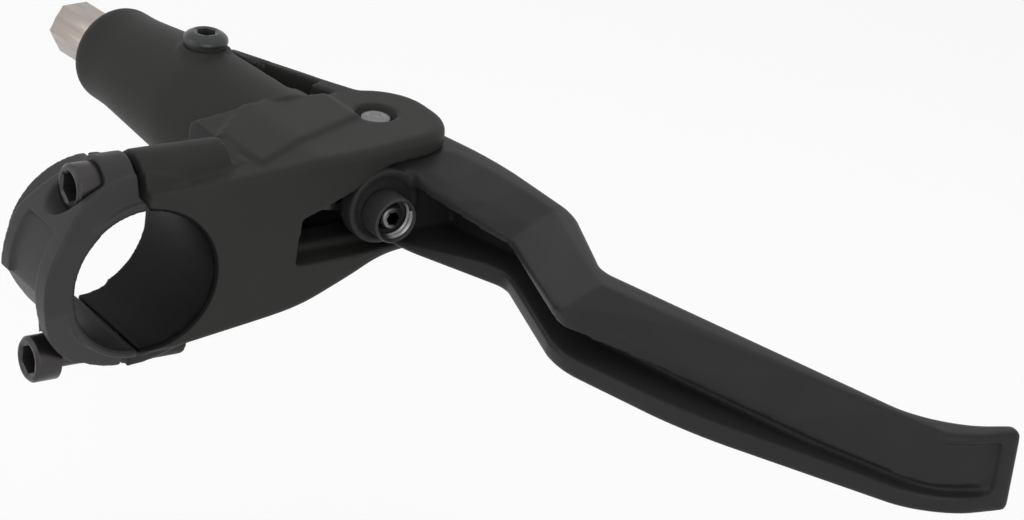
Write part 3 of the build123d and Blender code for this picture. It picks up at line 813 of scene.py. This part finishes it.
    def dish_blank(self) -> Blank:
        """Returns the round wall that carries the reach screw, with its raised rim."""
        axis = placed((0.0, -self.dish_back, self.dish_z), X_AXIS, Z_AXIS)
        start, end = self.dish
        wall = Blank.bar(axis, self.dish_r, start, end + self.dish_rise)
        return wall.fit(Blank.bar(axis, self.dish_r - self.dish_rim, end, end + self.dish_open), Fit.CUT)

    def hub_space(self) -> Blank:
        """Returns the room for the rocker between the hub's cheeks."""
        low, high = self.low + self.cheek, self.top - self.cheek
        behind = oblong(-3 * OPEN, self.dish[0], -3 * OPEN, 0.0)
        hollow = Blank.bar(placed(ORIGIN, Z_AXIS, X_AXIS), self.hub_r, low, high)
        return hollow.fit(Blank.prism(behind, low, high), Fit.JOIN)

    def forging(self) -> Blank:
        """Returns the blade with its hollows, still about its pivot."""
        pivot = placed(ORIGIN, Z_AXIS, X_AXIS)
        reach = placed((0.0, -self.dish_back, self.reach_z), X_AXIS, Z_AXIS)
        channel = Blank.prism(self.channel, 0.0, 2 * OPEN)
        channel.fit(Blank.prism(self.channel_side, -4 * OPEN, 6 * OPEN, View.REAR), Fit.KEEP)
        blade = self.rounded()
        for cutter in (Blank.prism(self.rear_trim, self.flange, 2 * OPEN),
                       Blank.prism(self.root_trim, self.root_level, 2 * OPEN), self.roll_space(), channel):
            blade.fit(cutter, Fit.CUT)
        blade.fit(self.dish_blank(), Fit.JOIN)
        for cutter in (Blank.prism(self.tip_pocket, self.flange, self.top - self.tip_wall), self.hub_space(),
                       Blank.bar(pivot, self.bush_r, -2 * OPEN, 3 * OPEN),
                       Blank.bar(reach, self.reach_r, self.reach_start, 3 * OPEN)):
            blade.fit(cutter, Fit.CUT)
        return blade

    def build(self) -> None:
        """Makes the forged blade at its pivot."""
        mesh = self.forging().softened("lever_forging", self.voxel_mm, self.rounds)
        mesh.transform(Matrix.Translation((self.pivot[0] * MM, self.pivot[1] * MM, 0.0)))
        finish_mesh(mesh, ANODISED, "lever_forging", Body.LEVER, ("lever_blade",))


@dataclass
class ReachAdjuster:
    """Threaded bush and reach screw in the lever's dish, in millimetres out from the pivot."""

    place: Point = (-3.7, 39.0, 6.2)
    pitch: float = 0.8
    root_sunk: float = 0.05
    # Bush with its collar and mouth
    wall: tuple[float, float] = (9.8, 12.42)
    bush_r: float = 3.1
    collar_r: float = 3.6
    collar_end: float = 16.8
    edge: float = 0.35
    bore_r: float = 2.25
    mouth_r: float = 3.05
    mouth_start: float = 14.2
    mouth_thread: float = 0.4
    bush_break: float = 0.06
    mouth_break: float = 0.03
    # Screw, its dome by radius and distance from the tip
    tip: float = 6.25
    tip_dome: tuple[tuple[float, float], ...] = ((0.7, 0.0), (1.4, 0.35), (1.85, 1.0))
    core_r: float = 1.85
    thread_r: float = 2.2
    thread_start: float = 1.2
    unthreaded: float = 2.6
    screw_end: float = 15.6
    end_edge: float = 0.3
    key: float = 2.0
    key_deep: float = 2.0
    screw_break: float = 0.04

    def axis(self) -> Matrix:
        """Returns the screw's place."""
        return placed(self.place, X_AXIS, Z_AXIS)

    def bush(self) -> None:
        """Makes the bush with its collar and the thread in its mouth."""
        low, seat = self.wall
        rings = [(ROUND, self.bore_r, low), (ROUND, self.bush_r, low), (ROUND, self.bush_r, seat),
                 (ROUND, self.collar_r, seat), (ROUND, self.collar_r, self.collar_end - self.edge),
                 (ROUND, self.collar_r - self.edge, self.collar_end),
                 (ROUND, self.mouth_r + self.edge, self.collar_end),
                 (ROUND, self.mouth_r, self.collar_end - self.edge), (ROUND, self.mouth_r, self.mouth_start),
                 (ROUND, self.bore_r, self.mouth_start)]
        work = bmesh.new()
        add_rings(work, self.axis(), rings, ring_like=True)
        finish_mesh(turned_mesh(work, "reach_bush", self.bush_break), CAST, "reach_bush_collar", Body.LEVER,
                    ("reach_insert",))
        work = bmesh.new()
        turns = (self.collar_end - self.edge - self.mouth_start) / self.pitch - 1
        add_thread(work, self.axis(), self.mouth_r + self.root_sunk, self.mouth_r - self.mouth_thread,
                   self.pitch, self.mouth_start, turns)
        finish_mesh(turned_mesh(work, "reach_bush_thread", self.mouth_break), DULL_STEEL, "reach_bush_thread",
                    Body.LEVER)

    def screw(self) -> None:
        """Makes the reach screw with its domed tip, its thread and its socket."""
        corner = self.key / math.sqrt(3)
        rings = [(ROUND, radius, self.tip + along) for radius, along in self.tip_dome]
        rings += [(ROUND, self.core_r, self.screw_end - self.end_edge),
                  (ROUND, self.core_r - self.end_edge, self.screw_end), (HEX, corner, self.screw_end),
                  (HEX, corner, self.screw_end - self.key_deep)]
        work = bmesh.new()
        add_rings(work, self.axis(), rings)
        turns = (self.screw_end - self.tip - self.unthreaded) / self.pitch
        add_thread(work, self.axis(), self.core_r - self.root_sunk, self.thread_r, self.pitch,
                   self.tip + self.thread_start, turns)
        finish_mesh(turned_mesh(work, "reach_screw", self.screw_break), DULL_STEEL, "reach_screw_threaded",
                    Body.REACH_SCREW, ("reach_screw",))

    def build(self) -> None:
        """Makes bush and screw."""
        self.bush()
        self.screw()


@dataclass
class CarriedOver:
    """CAD nodes that keep their shape and get a finish, by their slot or by their own name."""

    by_slot: dict[str, Finish] = field(default_factory=lambda: {
        "bright_steel": STEEL, "plain_aluminium": ALUMINIUM, "brass": BRASS, "seal_rubber": RUBBER})
    by_node: dict[str, Finish] = field(default_factory=lambda: {
        "rocker": DARK_ANODISED, "rod_pin": DULL_STEEL})

    def dress(self) -> None:
        """Gives every shown CAD node its finish."""
        for part in frame["record"]["subparts"]:
            node = frame["nodes"][part["node"]]
            if node.hide_render:
                continue
            finish = self.by_node.get(part["node"], self.by_slot[part["material_slot"]])
            for slot in node.material_slots:
                slot.material = finish.material()
            LOG.info("%s: %s", part["node"], part["material_slot"])


@dataclass
class Studio:
    """Floor, lights and camera."""

    # Camera as fitted to the photograph
    lens: float = 120.06
    sensor: float = 36.0
    clip: tuple[float, float] = (0.01, 20.0)
    place: Point = (0.3964, -0.2245, 0.2140)
    right: Point = (0.552, 0.827, 0.113)
    down: Point = (0.404, -0.146, -0.903)
    # Floor: its height, half its side, and how much paler it shows than it lights
    floor_z: float = -0.09
    floor_size: float = 4.0
    floor_colour: str = "#fbfbfb"
    floor_roughness: float = 0.9
    floor_lift: float = 0.05
    # Softboxes: name, watts, side in metres and place
    lamps: tuple[tuple[str, float, float, Point], ...] = (
        ("top_softbox", 1.0, 1.2, (0.0, 0.05, 0.9)), ("rear_softbox", 1.2, 0.6, (-0.3, -0.7, 0.3)),
        ("front_softbox", 2.2, 0.6, (0.8, -0.3, 0.25)))
    aim: Point = (0.03, 0.03, 0.0)
    room_level: float = 0.8

    def camera(self) -> None:
        """Places the camera as the photograph was taken."""
        right = Vector(self.right).normalized()
        up = -Vector(self.down)
        up = (up - up.dot(right) * right).normalized()
        back = right.cross(up)
        data = bpy.data.cameras.new("camera")
        data.lens, data.sensor_width = self.lens, self.sensor
        data.clip_start, data.clip_end = self.clip
        camera = bpy.data.objects.new("camera", data)
        camera.matrix_world = Matrix.Translation(self.place) @ Matrix((right, up, back)).transposed().to_4x4()
        bpy.context.collection.objects.link(camera)
        bpy.context.scene.camera = camera

    @staticmethod
    def sight(tree: bpy.types.NodeTree) -> bpy.types.NodeSocket:
        """Tells rays of sight from rays that light the object.

        Args:
            tree: nodes that get the test.

        Returns:
            1 for the camera's rays and those it sends on by mirrors or glass, else 0.
        """
        path = add_node(tree, "ShaderNodeLightPath").outputs
        direct = add_node(tree, "ShaderNodeMath", {0: path["Is Camera Ray"], 1: path["Is Transmission Ray"]},
                          operation="MAXIMUM")
        seen = add_node(tree, "ShaderNodeMath", {0: direct.outputs[0], 1: path["Is Glossy Ray"]},
                        operation="MAXIMUM")
        return seen.outputs[0]

    def floor(self) -> None:
        """Lays a pale floor that runs far past the picture and shows a little paler than it lights."""
        work = bmesh.new()
        bmesh.ops.create_grid(work, x_segments=1, y_segments=1, size=self.floor_size,
                              matrix=Matrix.Translation((0, 0, self.floor_z)))
        mesh = bpy.data.meshes.new("floor")
        work.to_mesh(mesh)
        work.free()
        material = bpy.data.materials.new("paper_white_matt")
        material.use_nodes = True
        tree = material.node_tree
        shader = tree.nodes["Principled BSDF"]
        shader.inputs["Base Color"].default_value = linear(self.floor_colour)
        shader.inputs["Roughness"].default_value = self.floor_roughness
        shader.inputs["Specular IOR Level"].default_value = 0.0
        shader.inputs["Emission Color"].default_value = WHITE
        lift = add_node(tree, "ShaderNodeMath", {0: self.sight(tree), 1: self.floor_lift},
                        operation="MULTIPLY")
        tree.links.new(lift.outputs[0], shader.inputs["Emission Strength"])
        mesh.materials.append(material)
        floor = bpy.data.objects.new("floor", mesh)
        bpy.context.collection.objects.link(floor)

    def lamp(self, name: str, power: float, size: float, place: Point) -> None:
        """Hangs one square softbox.

        Args:
            name: name of the lamp.
            power: watts.
            size: side of the softbox in metres.
            place: where it hangs.
        """
        data = bpy.data.lights.new(name, "AREA")
        data.energy, data.size = power, size
        lamp = bpy.data.objects.new(name, data)
        lamp.location = place
        lamp.rotation_euler = (Vector(self.aim) - Vector(place)).to_track_quat("-Z", "Y").to_euler()
        bpy.context.collection.objects.link(lamp)

    def world(self) -> None:
        """Makes a room of soft light that shows as white."""
        world = bpy.data.worlds.new("studio")
        bpy.context.scene.world = world
        world.use_nodes = True
        tree = world.node_tree
        strength = add_node(tree, "ShaderNodeMapRange", {"Value": self.sight(tree), "To Min": self.room_level,
                                                         "To Max": 1.0})
        sky = tree.nodes["Background"]
        sky.inputs["Color"].default_value = WHITE
        tree.links.new(strength.outputs["Result"], sky.inputs["Strength"])

    def build(self) -> None:
        """Sets up the whole studio."""
        bpy.context.scene.view_settings.view_transform = "Standard"
        self.camera()
        self.floor()
        for name, power, size, place in self.lamps:
            self.lamp(name, power, size, place)
        self.world()


def main() -> None:
    """Builds the lever, dresses it and sets up the studio."""
    logging.basicConfig(level=logging.INFO, format="%(message)s")
    Housing().build()
    ClampScrews().build()
    HoseNut().build()
    BleedScrew().build()
    PivotPin().build()
    Lever().build()
    ReachAdjuster().build()
    CarriedOver().dress()
    Studio().build()


if __name__ == "__main__":
    main()
